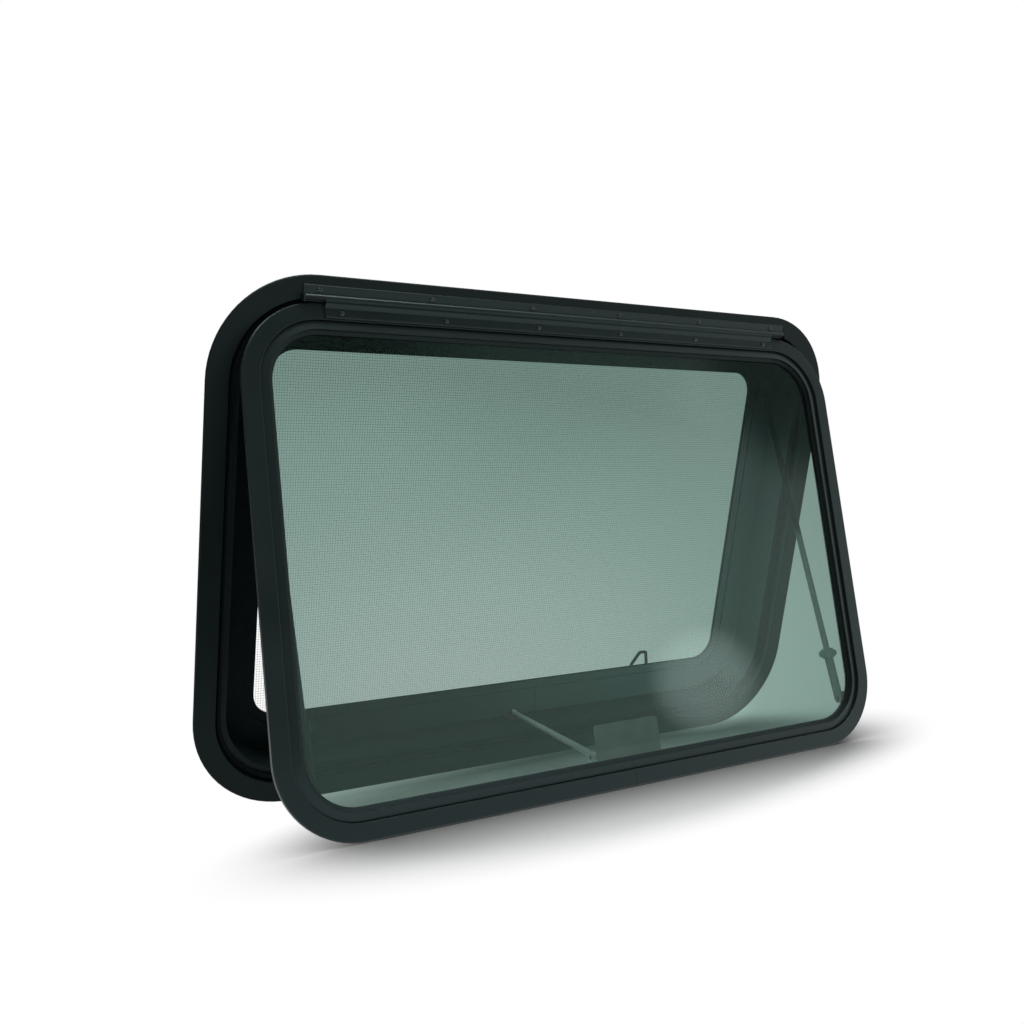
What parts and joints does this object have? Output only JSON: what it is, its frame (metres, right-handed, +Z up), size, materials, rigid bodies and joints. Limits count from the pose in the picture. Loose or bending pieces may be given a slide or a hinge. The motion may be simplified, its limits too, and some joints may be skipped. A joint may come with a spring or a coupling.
{
  "type": "caravan window",
  "caption": "Top-hung caravan window with a tinted pane in a bent dark frame, telescopic stays, a prop arm and an insect screen, shown propped open.",
  "frame": {"origin": "middle of the flange's bearing strip at the foot of the window, on the flange's back face", "axes": "+X along the flange to the right seen from outside, +Y through the wall into the caravan, +Z up"},
  "size_m": [0.962, 0.3109, 0.658],
  "materials": {
    "powder_coat": "satin",
    "rubber": "matte",
    "tinted_glass": "polished",
    "mesh": "woven",
    "black_steel": "semi-gloss",
    "black_plastic": "moulded",
    "grey_plastic": "moulded",
    "bare_aluminium": "mill",
    "red_plastic": "moulded"
  },
  "bodies": {
    "root": {"outer_frame": "powder_coat", "inner_trim_ring": "powder_coat", "screen_frame": "powder_coat", "hinge_frame_leaf": "powder_coat", "hinge_sash_leaf": "powder_coat", "sash_frame": "powder_coat", "glazing_bead": "powder_coat", "frame_seal": "rubber", "glazing_gasket": "rubber", "screen_spline": "rubber", "glass_pane": "tinted_glass", "insect_screen": "mesh", "stay_rod_left": "black_steel", "stay_rod_right": "black_steel", "stay_frame_bracket_left": "black_steel", "stay_frame_bracket_right": "black_steel", "stay_sash_bracket_left": "black_steel", "stay_sash_bracket_right": "black_steel", "screen_pull": "black_steel", "stay_collar_left": "grey_plastic", "stay_collar_right": "grey_plastic", "hinge_end_plug_left": "black_plastic", "hinge_end_plug_right": "black_plastic", "screen_clip_top_left": "black_plastic", "screen_clip_top_right": "black_plastic", "screen_clip_bottom_left": "black_plastic", "screen_clip_bottom_right": "black_plastic", "prop_arm": "bare_aluminium", "prop_arm_bracket": "bare_aluminium", "frame_joint_plate": "bare_aluminium", "sash_joint_plate": "bare_aluminium", "stay_sleeve_left": "bare_aluminium", "stay_sleeve_right": "bare_aluminium", "prop_arm_keeper": "red_plastic"}
  },
  "joints": []
}
